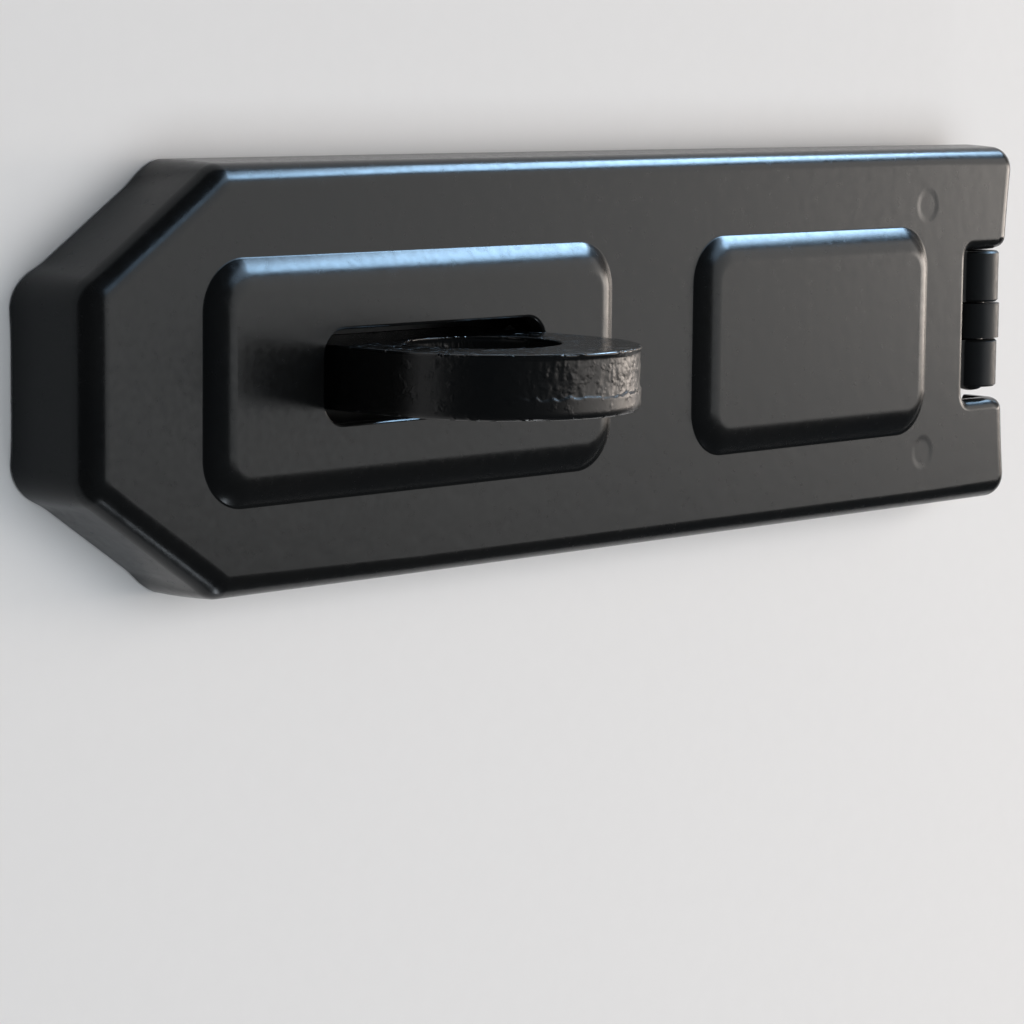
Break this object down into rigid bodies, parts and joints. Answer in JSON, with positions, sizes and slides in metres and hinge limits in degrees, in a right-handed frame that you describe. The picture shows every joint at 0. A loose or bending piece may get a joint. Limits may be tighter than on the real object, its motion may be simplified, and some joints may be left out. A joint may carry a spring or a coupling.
{
  "type": "hasp and staple",
  "caption": "Pressed-steel hasp with raised pads and a covered hinge, closed over a standing eye for a padlock.",
  "frame": {"origin": "on the door's surface, under the axis of the hinge pin, in the middle of the hasp's width", "axes": "+X from the free end towards the hinge, +Y across the hasp, +Z out of the door"},
  "size_m": [0.1939, 0.056, 0.0454],
  "materials": {
    "cover_paint": "satin black powder coat",
    "leaf_paint": "satin black powder coat",
    "rivet_paint": "satin black powder coat",
    "pin_paint": "glossy black over steel",
    "plate_paint": "satin black powder coat",
    "staple_paint": "glossy black paint"
  },
  "bodies": {
    "base": {"fixed_leaf": "plate_paint", "staple_plate": "plate_paint", "staple_eye": "staple_paint"},
    "flap": {"cover": "cover_paint", "moving_leaf": "leaf_paint", "leaf_rivets": "rivet_paint", "hinge_pin": "pin_paint"}
  },
  "joints": [
    {"name": "flap_hinge", "type": "hinge", "parent": "base", "child": "flap", "pos_m": [0, 0, 0.00945], "axis": [0, 1, 0], "range_deg": [0, 180]}
  ]
}
